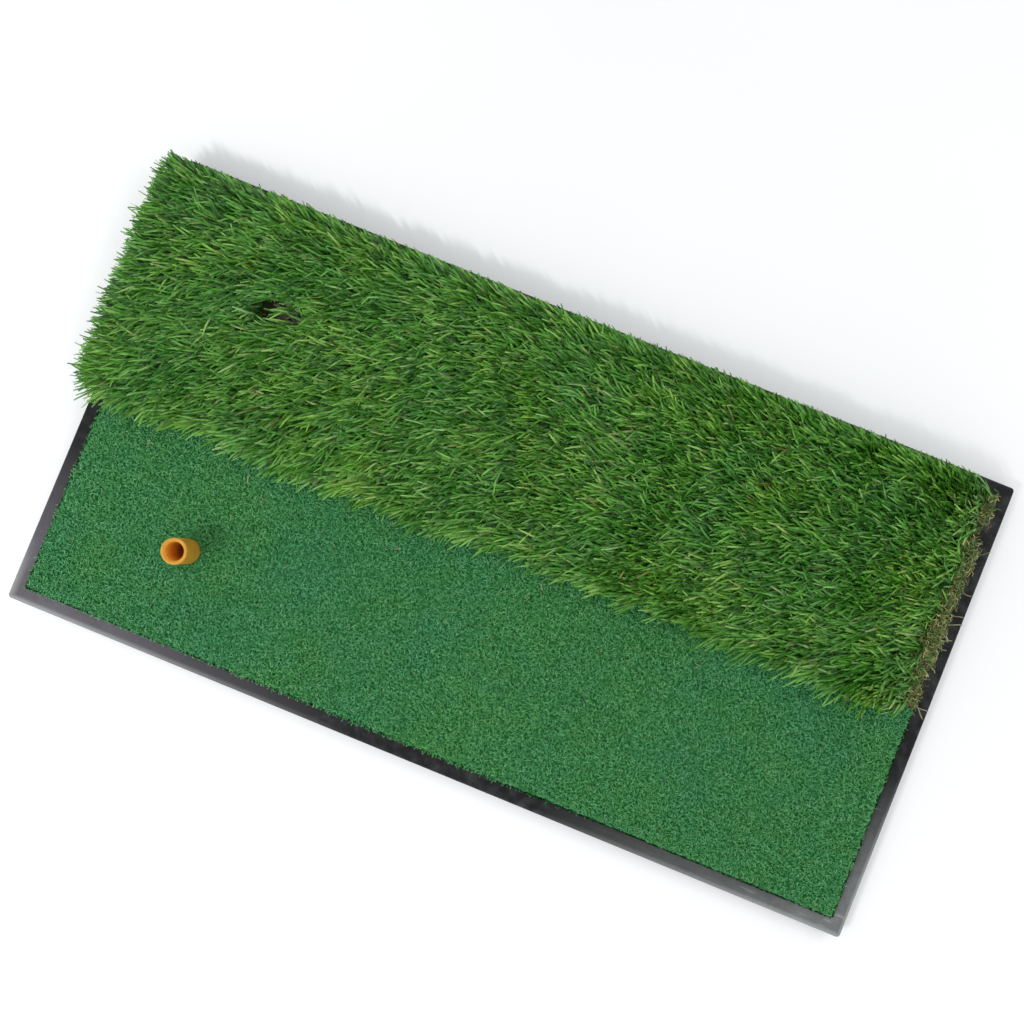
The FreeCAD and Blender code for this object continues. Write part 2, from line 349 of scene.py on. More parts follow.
def close_slab(mesh, bottom):
    """Give a sheet of faces its side walls, down to the height bottom, and an underside."""
    work = bmesh.new()
    work.from_mesh(mesh)
    bmesh.ops.delete(work, geom=[v for v in work.verts if not v.link_faces], context="VERTS")
    rim = [edge for edge in work.edges if edge.is_boundary]
    wall = bmesh.ops.extrude_edge_only(work, edges=rim)["geom"]
    for vertex in (item for item in wall if isinstance(item, bmesh.types.BMVert)):
        vertex.co.z = bottom
    under = [edge for edge in work.edges if edge.is_boundary]
    bmesh.ops.triangle_fill(work, edges=under, use_beauty=False)
    bmesh.ops.recalc_face_normals(work, faces=work.faces)
    work.to_mesh(mesh)
    work.free()


def make_slab_mesh(name, low, high, hole, pitch, lumps, edge_drop=0.0):
    """A closed slab with a lumpy top and a turf's round hole straight through it.

    pitch is the size of its faces, lumps is the height of its lumps, and edge_drop is how far the
    top comes down where it nears an edge.
    """
    columns = round((high[0] - low[0]) / pitch) + 1
    rows = round((high[1] - low[1]) / pitch) + 1
    x, y = np.meshgrid(np.linspace(low[0], high[0], columns), np.linspace(low[1], high[1], rows))
    inset = np.minimum.reduce([x - low[0], high[0] - x, y - low[1], high[1] - y])
    drop = edge_drop * nearness(inset, 4 * MM) ** 2
    lumpy = smooth_field(np.random.default_rng(11), rows, columns, grain=2.2)
    z = high[2] + lumps * np.clip(lumpy, -2, 2) - drop
    offset = np.stack([x - hole[0], y - hole[1]], -1)
    distance = np.linalg.norm(offset, axis=-1)
    inside = distance < TURF_HOLE_RADIUS
    pushed = offset * (TURF_HOLE_RADIUS / np.maximum(distance, TINY))[..., None]
    x = np.where(inside, hole[0] + pushed[..., 0], x)
    y = np.where(inside, hole[1] + pushed[..., 1], y)
    number = np.arange(rows * columns).reshape(rows, columns)
    quads = np.stack([number[:-1, :-1], number[:-1, 1:], number[1:, 1:], number[1:, :-1]], -1)
    quads = quads.reshape(-1, 4)
    quads = quads[~inside.ravel()[quads].all(1)]
    mesh = bpy.data.meshes.new(name)
    mesh.from_pydata(np.stack([x, y, z], -1).reshape(-1, 3).tolist(), [], quads.tolist())
    close_slab(mesh, low[2])
    return mesh


def as_column(values):
    """A value for each fibre, or one for them all, as a column."""
    return np.asarray(values).reshape(-1, 1)


def grow_fibres(roots, headings, tilts, lengths, stations, turn, crimp, phase, waves=2.0):
    """Centre lines of fibres that start at roots and bend over.

    headings are plan angles from +X. tilts are the angles from straight up at the root and at the
    tip. turn is how far the heading swings along the fibre. crimp, phase and waves are the size,
    start and number of the waves on the heading. Returns the points and the directions, both
    (fibres, stations, 3).
    """
    count = len(roots)
    share = np.linspace(0, 1, stations)[None, :]
    first, last = (np.broadcast_to(tilt, count)[:, None] for tilt in tilts)
    wave = np.sin(2 * math.pi * as_column(waves) * share + as_column(phase))
    heading = headings[:, None] + as_column(turn) * share + crimp * wave
    tilt = first + (last - first) * share**0.8
    flat = np.sin(tilt)
    direction = np.stack([flat * np.cos(heading), flat * np.sin(heading), np.cos(tilt)], -1)
    steps = (direction[:, 1:] + direction[:, :-1]) / 2 * (lengths / (stations - 1))[:, None, None]
    path = np.concatenate([np.zeros((count, 1, 3)), np.cumsum(steps, 1)], 1)
    return roots[:, None, :] + path, direction


def add_attribute(mesh, name, values):
    """A number on each vertex, for the materials to read."""
    attribute = mesh.attributes.new(name, "FLOAT", "POINT")
    attribute.data.foreach_set("value", values.astype(np.float32))


def add_bake_cells(mesh, quads, count, stations, across):
    """A bake map in which each fibre has a narrow cell of its own."""
    cell_aspect = 6
    columns = math.ceil(math.sqrt(count * cell_aspect))
    rows = math.ceil(count / columns)
    cell = np.arange(count)
    width = np.broadcast_to(0.5 + 0.3 * across, (count, stations, len(across)))
    height = np.linspace(0.04, 0.96, stations)[None, :, None]
    u = (cell % columns)[:, None, None] + width
    v = (cell // columns)[:, None, None] + height
    uv = np.stack([u / columns, np.broadcast_to(v, u.shape) / rows], -1).reshape(-1, 2)
    layer = mesh.uv_layers.new(name="OFBake")
    layer.data.foreach_set("uv", uv[quads.ravel()].astype(np.float32).ravel())


def make_ribbon_mesh(name, points, direction, half_width, roll, seeds, profile, fold):
    """One strip along each centre line, with its own seed and its own cell in the bake map.

    A strip with a fold has a crease along its middle, which lies fold half widths below its edges.
    """
    count, stations = points.shape[:2]
    level = np.cross(UP, direction)
    level /= np.maximum(np.linalg.norm(level, axis=-1, keepdims=True), TINY)
    normal = np.cross(direction, level)
    cosine, sine = np.cos(roll)[:, None, None], np.sin(roll)[:, None, None]
    side, face = level * cosine + normal * sine, normal * cosine - level * sine
    reach = (half_width[:, None] * profile[None, :])[..., None]
    across = np.array([-1.0, 0.0, 1.0] if fold else [-1.0, 1.0])
    sink = np.where(across == 0, -fold, 0.0)
    lines = len(across)
    places = np.stack([points + reach * (a * side + b * face) for a, b in zip(across, sink)], 2)
    start = np.arange(count)[:, None, None] * stations + np.arange(stations - 1)[None, :, None]
    start = lines * start + np.arange(lines - 1)
    quads = np.stack([start, start + 1, start + 1 + lines, start + lines], -1).reshape(-1, 4)

    mesh = bpy.data.meshes.new(name)
    mesh.vertices.add(places.size // 3)
    mesh.vertices.foreach_set("co", places.astype(np.float32).ravel())
    mesh.loops.add(quads.size)
    mesh.loops.foreach_set("vertex_index", quads.astype(np.int32).ravel())
    mesh.polygons.add(len(quads))
    mesh.polygons.foreach_set("loop_start", np.arange(0, quads.size, 4, dtype=np.int32))
    mesh.update(calc_edges=True)
    mesh.shade_smooth()

    add_attribute(mesh, "fibre_seed", np.repeat(seeds, lines * stations))
    along = np.repeat(np.linspace(0, 1, stations), lines)
    add_attribute(mesh, "fibre_along", np.tile(along, count))
    add_bake_cells(mesh, quads, count, stations, across)
    return mesh


def swirl(rng, places, grain_m):
    """A smooth random number for each place in the rough strip, about 1 in size, with patches
    grain_m across.
    """
    cell = 4 * MM
    size = ROUGH_HIGH[:2] - ROUGH_LOW[:2]
    columns, rows = (round(side / cell) for side in size)
    field = smooth_field(rng, rows, columns, grain_m / cell)
    share = (places[:, :2] - ROUGH_LOW[:2]) / size
    row = np.clip(share[:, 1] * rows, 0, rows - 1).astype(int)
    column = np.clip(share[:, 0] * columns, 0, columns - 1).astype(int)
    return field[row, column]


def scatter_tufts(rng, low, high, gauge, stitch, fibres, spread):
    """Stitch rows of tufts over a rectangle: the root of every fibre, and the number of its tuft.

    gauge is between rows and stitch is along them. spread is the fibres' scatter round their tuft,
    as a share of both.
    """
    rows = np.arange(low[1] + gauge / 2, high[1], gauge)
    stitches = np.arange(low[0] + stitch / 2, high[0], stitch)
    x, y = np.meshgrid(stitches, rows)
    x = x + (np.arange(len(rows)) % 2)[:, None] * stitch / 2
    tufts = np.stack([x.ravel(), y.ravel()], -1)
    tuft = np.repeat(np.arange(len(tufts)), fibres)
    roots = tufts[tuft] + rng.normal(0, spread, (len(tuft), 2)) * (stitch, gauge)
    return np.clip(roots, low[:2], high[:2]), tuft


def outside_hole(places, centre, radius):
    """Whether each place is outside a circle in plan."""
    return np.linalg.norm(places[:, :2] - centre, axis=1) > radius


def around(centre, radius, bearing):
    """Places round a centre in plan."""
    return centre + radius[:, None] * np.column_stack([np.cos(bearing), np.sin(bearing)])


def mirror_back(points, direction, over, axis):
    """Mirror the fibres marked over about their roots, along axis 0 for X or 1 for Y."""
    points[over, :, axis] = 2 * points[over, :1, axis] - points[over, :, axis]
    direction[over, :, axis] *= -1


def keep_above_rim(points):
    """Lift the points that lie lower than the top of the tray's rim."""
    points[..., 2] = np.maximum(points[..., 2], TRAY_HIGH[2] + 0.3 * MM)


class Yarn(NamedTuple):
    """A kind of fibre: its slot, the range of its half width in mm, the share of that width at each
    station from root to tip, and its fold.
    """

    slot: str
    half_width: tuple
    profile: np.ndarray
    fold: float = 0.0


def grow_yarn(rng, yarn, roots, headings, tilts, lengths, turn, crimp, waves=None):
    """Fibres of random shapes. tilts are ranges in degrees at root and tip, lengths is a range in mm,
    turn is a spread, and waves is a range.
    """
    count = len(roots)
    tilts = tuple(np.radians(rng.uniform(*tilt, count)) for tilt in tilts)
    lengths = rng.uniform(*lengths, count) * MM
    bend = dict(turn=rng.normal(0, turn, count), crimp=crimp)
    if waves:
        bend["waves"] = rng.uniform(*waves, count)
    bend["phase"] = rng.uniform(0, 6, count)
    return grow_fibres(roots, headings, tilts, lengths, len(yarn.profile), **bend)


def add_fibres(name, material, yarn, rng, fibres, roll, seeds):
    """A piece made of fibres, given as points and directions, of one kind of yarn.

    roll is the spread of their turn about their own length. seeds holds each fibre's seed, or the
    two ends of the range that they are drawn from.
    """
    points, direction = fibres
    count = len(points)
    half_width = rng.uniform(*yarn.half_width, count) * MM
    roll = rng.normal(0, roll, count)
    if isinstance(seeds, tuple):
        seeds = rng.uniform(*seeds, count)
    mesh = make_ribbon_mesh(name, points, direction, half_width, roll, seeds, yarn.profile, yarn.fold)
    return make_object(name, mesh, material, "mat", yarn.slot)


# ---- fairway strip

FAIRWAY_TOP = FAIRWAY_HIGH[2]
CURL = Yarn("fairway_yarn", (0.18, 0.28), np.array([0.8, 1.0, 1.0, 0.95, 0.6]))
SHADED_SEED = 0.02  # a curl with a lower seed has the colour of yarn in the shade
CLEAN_CUT_FROM = 60 * MM


def turn_back_at_border(points, direction):
    """Mirror the curls that would stick out over the right edge and the right part of the front."""
    over_front = (points[..., 1].min(axis=1) < FAIRWAY_LOW[1]) & (points[:, 0, 0] > CLEAN_CUT_FROM)
    mirror_back(points, direction, points[..., 0].max(axis=1) > FAIRWAY_HIGH[0], 0)
    mirror_back(points, direction, over_front, 1)


def make_fairway_nap(pile_shade):
    """The body of the pile, a little below the curls' tips."""
    high = np.array([*FAIRWAY_HIGH[:2], FAIRWAY_TOP - 2.2 * MM])
    mesh = make_slab_mesh(
        "fairway_nap", FAIRWAY_LOW, high, TEE_AXIS, pitch=2 * MM, lumps=0.3 * MM, edge_drop=0.6 * MM
    )
    mesh.shade_smooth()
    nap = make_object("fairway_nap", mesh, pile_shade, "mat", "fairway_yarn")
    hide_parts("fairway_pile")


def make_fairway_curls(material):
    """The curls all over the strip, in four pieces that share it at random."""
    rng = np.random.default_rng(21)
    roots, _ = scatter_tufts(
        rng, FAIRWAY_LOW, FAIRWAY_HIGH, gauge=2.0 * MM, stitch=1.9 * MM, fibres=4, spread=0.3
    )
    roots = roots[outside_hole(roots, TEE_AXIS, TEE_RADIUS + 0.8 * MM)]
    order = rng.permutation(len(roots))
    for index, part in enumerate(np.array_split(order, 4)):
        here = roots[part]
        count = len(here)
        height = FAIRWAY_TOP - rng.uniform(1.4, 2.6, count) * MM
        curls = grow_yarn(
            rng,
            CURL,
            np.column_stack([here, height]),
            rng.uniform(0, 2 * math.pi, count),
            tilts=((5, 50), (80, 135)),
            lengths=(2.4, 4.2),
            turn=1.6,
            crimp=0.5,
            waves=(0.8, 1.6),
        )
        turn_back_at_border(*curls)
        name = f"fairway_curls_{index + 1}"
        add_fibres(name, material, CURL, rng, curls, roll=0.5, seeds=(SHADED_SEED, 1.0))


def make_tee_collar(material):
    """Curls that close in round the tee, where the pile's hole is a little wider than the tube."""
    rng = np.random.default_rng(23)
    count = 420
    bearing = rng.uniform(0, 2 * math.pi, count)
    radius = TEE_RADIUS + rng.uniform(0.2, 1.6, count) * MM
    places = around(TEE_AXIS, radius, bearing)
    side = np.where(rng.random(count) < 0.5, 1, -1)
    curls = grow_yarn(
        rng,
        CURL,
        np.column_stack([places, FAIRWAY_TOP - rng.uniform(1.5, 3.5, count) * MM]),
        bearing + side * rng.uniform(1.0, 1.7, count),
        tilts=((20, 60), (70, 110)),
        lengths=(2.2, 3.6),
        turn=0.5,
        crimp=0.3,
    )
    # painted shade: the collar's curls take only the darker half of the ramp, round the tee's foot
    add_fibres("tee_collar_curls", material, CURL, rng, curls, roll=0.5, seeds=(SHADED_SEED, 0.52))


def scatter_along_sides(rng, per_metre, insets):
    """Places beside the strip's three outer edges, and the plan angle outwards at each place.

    insets is the range of their distance in from the edge, in mm.
    """
    low, high = FAIRWAY_LOW, FAIRWAY_HIGH
    sides = (
        ((low[0], low[1]), (high[0], low[1]), -math.pi / 2),
        ((low[0], low[1]), (low[0], high[1]), math.pi),
        ((high[0], low[1]), (high[0], high[1]), 0.0),
    )
    places, outward = [], []
    for start, end, heading in sides:
        start, end = np.array(start), np.array(end)
        count = round(per_metre * np.linalg.norm(end - start))
        inward = -np.array([math.cos(heading), math.sin(heading)])
        share = rng.random((count, 1))
        places.append(start + (end - start) * share + inward * rng.uniform(*insets, (count, 1)) * MM)
        outward.append(np.full(count, heading))
    return np.concatenate(places), np.concatenate(outward)


def make_fairway_wall(material):
    """The strip's cut sides: yarns that stand close together, in the shade of the pile."""
    rng = np.random.default_rng(24)
    places, outward = scatter_along_sides(rng, per_metre=9000, insets=(-0.4, 0.0))
    count = len(places)
    curls = grow_yarn(
        rng,
        CURL,
        np.column_stack([places, rng.uniform(TRAY_HIGH[2] - 1 * MM, FAIRWAY_TOP - 4 * MM, count)]),
        outward + rng.normal(0, 0.5, count),
        tilts=((1, 10), (8, 26)),
        lengths=(3, 4),
        turn=0.6,
        crimp=0.4,
    )
    add_fibres("fairway_cut_sides", material, CURL, rng, curls, roll=0.4, seeds=(0.0, SHADED_SEED))


def make_fairway_edge(material):
    """Fibres along the strip's three outer edges that spill a little way over the rim.

    They thin out towards the right, where the edge is cut clean.
    """
    rng = np.random.default_rng(22)
    places, outward = scatter_along_sides(rng, per_metre=4200, insets=(0.0, 2.5))
    trimmed = 0.95 * np.clip((places[:, 0] - 40 * MM) / (80 * MM), 0, 1)
    kept = rng.random(len(places)) > trimmed
    places, outward = places[kept], outward[kept]
    count = len(places)
    height = rng.uniform(FAIRWAY_LOW[2] + 2 * MM, FAIRWAY_TOP - 3 * MM, count)
    curls = grow_yarn(
        rng,
        CURL,
        np.column_stack([places, height]),
        outward + rng.normal(0, 0.9, count),
        tilts=((10, 60), (80, 140)),
        lengths=(2.6, 4.8),
        turn=1.6,
        crimp=0.6,
        waves=(1, 2),
    )
    keep_above_rim(curls[0])
    add_fibres("fairway_edge_fuzz", material, CURL, rng, curls, roll=0.5, seeds=(SHADED_SEED, 1.0))


# ---- rough strip

BLADE = Yarn("blade_yarn", (0.6, 0.86), np.array([0.85, 1.0, 1.0, 0.96, 0.84, 0.45]), fold=0.35)
THATCH = Yarn("thatch_yarn", (0.2, 0.34), np.array([0.8, 1.0, 1.0, 1.0, 1.0, 1.0, 1.0, 0.9, 0.5]))
STRAND = THATCH._replace(half_width=(0.35, 0.55))
STRAY = THATCH._replace(half_width=(0.28, 0.42))
PARTING_CENTRE = ROUGH_HOLE + np.array([-3.0, -1.5]) * MM
PARTING_REACH = np.array([16.0, 7.2]) * MM


def make_rough_soil(pile_shade):
    """The body of the curly yarn, low under the blades."""
    high = np.array([*ROUGH_HIGH[:2], ROUGH_HIGH[2] - 5 * MM])
    mesh = make_slab_mesh(
        "rough_soil", ROUGH_LOW, high, ROUGH_HOLE, pitch=2 * MM, lumps=0.9 * MM, edge_drop=2.5 * MM
    )
    mesh.shade_smooth()
    piece = make_object("rough_soil", mesh, pile_shade, "mat", "thatch_yarn")
    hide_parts("rough_thatch")


def length_share(places):
    """How far along the rough strip each place is, 0 at its left end and 1 at its right."""
    return (places[:, 0] - ROUGH_LOW[0]) / (ROUGH_HIGH[0] - ROUGH_LOW[0])


def blade_headings(rng, roots, back_edge):
    """Plan angles of the blades. They lean to -X and towards the front, less so along the right
    half of the strip, and outwards over the rim along its back edge.
    """
    middle = (ROUGH_LOW[1] + ROUGH_HIGH[1]) / 2
    half = (ROUGH_HIGH[1] - ROUGH_LOW[1]) / 2
    across = (roots[:, 1] - middle) / half
    right_half = np.clip((length_share(roots) - 0.35) / 0.25, 0, 1)
    fan = 33 - 21 * right_half - 15 * across - 8 * (1 - right_half) * across**2 - 14 * back_edge
    drift = 6 * swirl(rng, roots, 26 * MM)
    return math.pi + np.radians(fan + drift)


def in_parting(places):
    """Whether each place is inside the oval parting in the blades that shows the tee hole."""
    return np.linalg.norm((places - PARTING_CENTRE) / PARTING_REACH, axis=-1) < 1


def crosses_parting(points):
    """Whether each blade, past its root, lies over the parting."""
    return in_parting(points[:, 2:, :2]).any(axis=1)


def part_round_hole(points, headings, rng):
    """Turn the headings of blades that would lie over the parting, but for a few strands.

    Returns the headings, and whether each one was turned.
    """
    near = crosses_parting(points) & (rng.random(len(points)) > 0.06)
    away = np.where(points[:, -1, 1] >= PARTING_CENTRE[1], -1.0, 1.0)
    return np.where(near, headings + away * np.radians(50), headings), near


def stop_at_back_edge(points, headings, rng):
    """Turn blades that would hang over the tray's back edge until their tips lie beside it."""
    root_y = points[:, 0, 1]
    offset = points[:, -1, :2] - points[:, 0, :2]
    limit = TRAY_HIGH[1] - rng.uniform(3.0, 6.0, len(points)) * MM
    over = points[:, -1, 1] > limit
    now = np.arctan2(offset[:, 1], offset[:, 0])
    share = np.clip((limit - root_y) / np.linalg.norm(offset, axis=1), -1, 1)
    return np.where(over, headings + math.pi - np.arcsin(share) - now, headings)


def root_blades(rng):
    """The root of every blade and the number of its tuft. Nothing grows in the tee hole, and the
    right end is worn bare for a few millimetres, more in some places than in others.
    """
    roots, tuft = scatter_tufts(
        rng, ROUGH_LOW, ROUGH_HIGH, gauge=6.0 * MM, stitch=4.0 * MM, fibres=11, spread=0.27
    )
    missing = (4 + 3 * swirl(rng, roots, 12 * MM)) * MM
    bare_centre = ROUGH_HOLE + np.array([-2.0, 0.0]) * MM
    grows = outside_hole(roots, bare_centre, TURF_HOLE_RADIUS + 1 * MM)
    grows &= ROUGH_HIGH[0] - roots[:, 0] > missing
    return roots[grows], tuft[grows]


def blade_seeds(rng, tuft_shade, front):
    """Each blade's seed, mostly near its tuft's, and lighter at the front. A few are dry blades."""
    count = len(tuft_shade)
    seeds = rng.random(count)
    # painted light: the front fringe's blades are pushed to lighter seeds, as if the lamp caught them
    shade = 0.75 * tuft_shade + 0.45 * rng.random(count) - 0.1 + 0.12 * front
    return np.where(seeds < 0.95, np.clip(shade, 0.0, 0.94), seeds)


def make_blades(material):
    """Straight blades in tufts, bent over so that most of their tips point back down into the pile.

    Every tuft has a turn, a tilt, a height and a shade of its own, which its blades share. The
    blades differ along the front fringe, the back edge and the bare right end.
    """
    rng = np.random.default_rng(31)
    roots, tuft = root_blades(rng)
    tufts = tuft.max() + 1
    tuft_turn = rng.normal(0, np.radians(7), tufts)
    tuft_tilt = rng.normal(0, np.radians(9), tufts)
    tuft_height = rng.normal(0, 1.4, tufts)
    tuft_shade = rng.random(tufts)
    lift = (0.08 + 0.14 * length_share(roots)) * swirl(rng, roots, 18 * MM)
    fringe = nearness(roots[:, 1] - ROUGH_LOW[1], 14 * MM)
    back_edge = nearness(ROUGH_HIGH[1] - roots[:, 1], 16 * MM)
    bare_end = nearness(ROUGH_HIGH[0] - roots[:, 0], 14 * MM)
    base_headings = blade_headings(rng, roots, back_edge)
    order = rng.permutation(len(roots))
    for index, part in enumerate(np.array_split(order, 5)):
        here, own_tuft = roots[part], tuft[part]
        count = len(here)
        front, back, end = fringe[part], back_edge[part], bare_end[part]
        base = np.column_stack([here, np.full(count, ROUGH_LOW[2] + 3 * MM)])
        scatter = np.radians(11 - 3 * front + 3 * back + 16 * end)
        headings = base_headings[part] + tuft_turn[own_tuft] + rng.normal(0, scatter, count)
        lengths = (rng.normal(29.0, 3.0, count) + tuft_height[own_tuft] + 3 * front - 5 * end) * MM
        root_tilt = np.radians(rng.uniform(2, 32, count))
        tip_tilt = np.radians(rng.normal(90, 13, count) + 2 * front - 20 * back - 12 * end)
        tilts = (root_tilt, tip_tilt + tuft_tilt[own_tuft] + lift[part])
        turn = rng.normal(0, 0.38, count) * (1 - 0.5 * front)
        bend = dict(stations=len(BLADE.profile), turn=turn, crimp=0.16, phase=rng.uniform(0, 6, count))
        points, _ = grow_fibres(base, headings, tilts, lengths, **bend)
        headings, near = part_round_hole(points, headings, rng)
        headings = stop_at_back_edge(points, headings, rng)
        lengths = np.where(near, lengths * 0.72, lengths)
        points, direction = grow_fibres(base, headings, tilts, lengths, **bend)
        kept = ~(near & crosses_parting(points))
        blades = (points[kept], direction[kept])
        seeds = blade_seeds(rng, tuft_shade[own_tuft[kept]], front[kept])
        name = f"rough_blades_{index + 1}"
        add_fibres(name, material, BLADE, rng, blades, roll=0.55, seeds=seeds)
    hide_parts("rough_blades")


def make_splayed_blades(material):
    """Blades along the strip's back and left cut edges, which nothing holds back, so they lie over
    the rim.
    """
    rng = np.random.default_rng(33)
    low, high = ROUGH_LOW, ROUGH_HIGH
    back_count, left_count = 3400, 900
    count = back_count + left_count
    back_x = rng.uniform(low[0], high[0], back_count)
    back = np.column_stack([back_x, high[1] - rng.uniform(0, 4, back_count) * MM])
    left_x = low[0] + rng.uniform(0, 4, left_count) * MM
    left = np.column_stack([left_x, rng.uniform(low[1], high[1], left_count)])
    roots = np.concatenate([back, left])
    at_back = np.arange(count) < back_count
    left_fan = 22 - 18 * (roots[:, 1] - low[1]) / (high[1] - low[1])
    fan = np.where(at_back, rng.normal(-25, 9, count), left_fan)
    headings = math.pi + np.radians(fan + rng.normal(0, 7, count))
    base = np.column_stack([roots, ROUGH_LOW[2] + rng.uniform(3, 8, count) * MM])
    lengths = np.where(at_back, rng.normal(27, 3, count), rng.normal(29, 3, count)) * MM
    tilts = (np.radians(rng.uniform(15, 50, count)), np.radians(rng.normal(90, 10, count)))
    turn = rng.normal(0, 0.3, count)
    bend = dict(stations=len(BLADE.profile), turn=turn, crimp=0.14, phase=rng.uniform(0, 6, count))
    points, _ = grow_fibres(base, headings, tilts, lengths, **bend)
    headings = stop_at_back_edge(points, headings, rng)
    blades = grow_fibres(base, headings, tilts, lengths, **bend)
    add_fibres("rough_blades_splayed", material, BLADE, rng, blades, roll=0.5, seeds=(0.0, 0.95))


def make_hole_strands(material):
    """Flattened strands that lean in over the tee hole from its wall, most of them one way."""
    rng = np.random.default_rng(53)
    count = 30
    bearing = rng.normal(2.0, 1.1, count)
    radius = TURF_HOLE_RADIUS + rng.uniform(0, 1, count) * MM
    places = around(ROUGH_HOLE, radius, bearing)
    strands = grow_yarn(
        rng,
        STRAND,
        np.column_stack([places, rng.uniform(10, 22, count) * MM]),
        bearing + math.pi + rng.normal(0, 0.35, count),
        tilts=((50, 80), (85, 115)),
        lengths=(8, 15),
        turn=0.25,
        crimp=0.12,
        waves=(1, 2),
    )
    add_fibres("rough_hole_strands", material, STRAND, rng, strands, roll=0.4, seeds=(0.0, 1.0))


def make_thatch(name, material, seed, count, low, spread, lengths, heights, tilts, clumping=0.0):
    """Curly yarns from low to the strip's back right corner, each a crimped loop that swings round.

    spread is the scatter of their headings round +X. lengths, and heights above the rim, are ranges
    in mm, and tilts are the middle values at root and tip. clumping leaves bare patches. Yarns that
    would reach far over the right rim are mirrored.
    """
    rng = np.random.default_rng(seed)
    places = rng.uniform(low[:2], ROUGH_HIGH[:2], (count, 2))
    thickness = swirl(rng, places, 16 * MM) + rng.normal(0, 0.4, count)
    kept = outside_hole(places, ROUGH_HOLE, TURF_HOLE_RADIUS) & ~in_parting(places)
    kept &= clumping * thickness > -0.2
    places = places[kept]
    count = len(places)
    height = rng.uniform(*heights, count) * MM + TRAY_HIGH[2]
    points, direction = grow_fibres(
        np.column_stack([places, height]),
        rng.normal(0, spread, count),
        tuple(np.radians(rng.normal(tilt, 14, count)) for tilt in tilts),
        rng.uniform(*lengths, count) * MM,
        stations=len(THATCH.profile),
        turn=rng.normal(0, 2.6, count),
        crimp=0.9,
        waves=rng.uniform(1.2, 2.6, count),
        phase=rng.uniform(0, 6, count),
    )
    over_rim = points[..., 0].max(axis=1) - ROUGH_HIGH[0] > rng.uniform(0, 3.5, count) * MM
    mirror_back(points, direction, over_rim, 0)
    keep_above_rim(points)
    add_fibres(name, material, THATCH, rng, (points, direction), roll=0.6, seeds=(0.0, 1.0))


def make_strays(material):
    """Loose yarns: some that cross the right rim, and some on the fairway beside the rough."""
    rng = np.random.default_rng(54)
    rim_y = np.array([1, 3, 44, 48, 56, 60, 67, 86, 112]) * MM
    rim = np.column_stack([ROUGH_HIGH[0] + rng.uniform(-1, 2, len(rim_y)) * MM, rim_y])
    fairway_x = np.array([-268, -252, -180, -70, 24, 33, 150, 262]) * MM
    fairway = np.column_stack([fairway_x, rng.uniform(-36, -17, len(fairway_x)) * MM])
    count = len(rim) + len(fairway)
    on_rim = np.arange(count) < len(rim)
    height = np.where(on_rim, TRAY_HIGH[2] + 2.2 * MM, FAIRWAY_TOP + 0.5 * MM)
    headings = np.where(on_rim, rng.normal(-0.35, 0.45, count), rng.uniform(0, 2 * math.pi, count))
    strays = grow_fibres(
        np.column_stack([np.concatenate([rim, fairway]), height]),
        headings,
        (math.radians(86), np.radians(np.where(on_rim, 97, 92))),
        np.where(on_rim, rng.uniform(9, 13, count), rng.uniform(3, 7, count)) * MM,
        stations=len(STRAY.profile),
        turn=rng.normal(0, 0.4, count),
        crimp=0.3,
        waves=rng.uniform(0.6, 1.4, count),
        phase=rng.uniform(0, 6, count),
    )
    add_fibres("loose_yarns", material, STRAY, rng, strays, roll=0.3, seeds=(0.6, 1.0))


# ---- backing layers


def make_backing(weave, latex, glue):
    """The woven cloths as laid sheets; the coats and films under them are the CAD's own layers."""
    for strip, hole in (("fairway", TEE_AXIS), ("rough", ROUGH_HOLE)):
        low, high = corners(f"{strip}_cloth")
        top = high - 0.15 * UP * MM
        name = f"{strip}_backing_cloth"
        mesh = make_slab_mesh(name, low, top, hole, pitch=5 * MM, lumps=0.04 * MM)
        cloth = make_object(name, mesh, weave, "mat", "cloth")
        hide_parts(f"{strip}_cloth")
        paint_node(f"{strip}_latex", latex)
        paint_node(f"{strip}_glue", glue)


def paint_node(node, material):
    """Give one of the CAD's own nodes a material."""
    mesh = frame["nodes"][node].data
    mesh.materials.clear()
    mesh.materials.append(material)


# ---- tee

TEE_BORE = 6.4 * MM
TEE_SEAT = 1.1 * MM
NECK_LOW, NECK_HIGH = FOOT_HIGH[2], TUBE_LOW[2]


def arc(radius, height, size, start, steps=5):
    """Points of a quarter round, its centre at (radius, height), from a start angle."""
    angles = start + np.linspace(0, math.pi / 2, steps)
    return [(radius + size * math.cos(a), height + size * math.sin(a)) for a in angles]


def rings(radius, start, end, steps):
    """Points up or down a straight wall, without the one at its start."""
    return [(radius, height) for height in np.linspace(start, end, steps)[1:]]


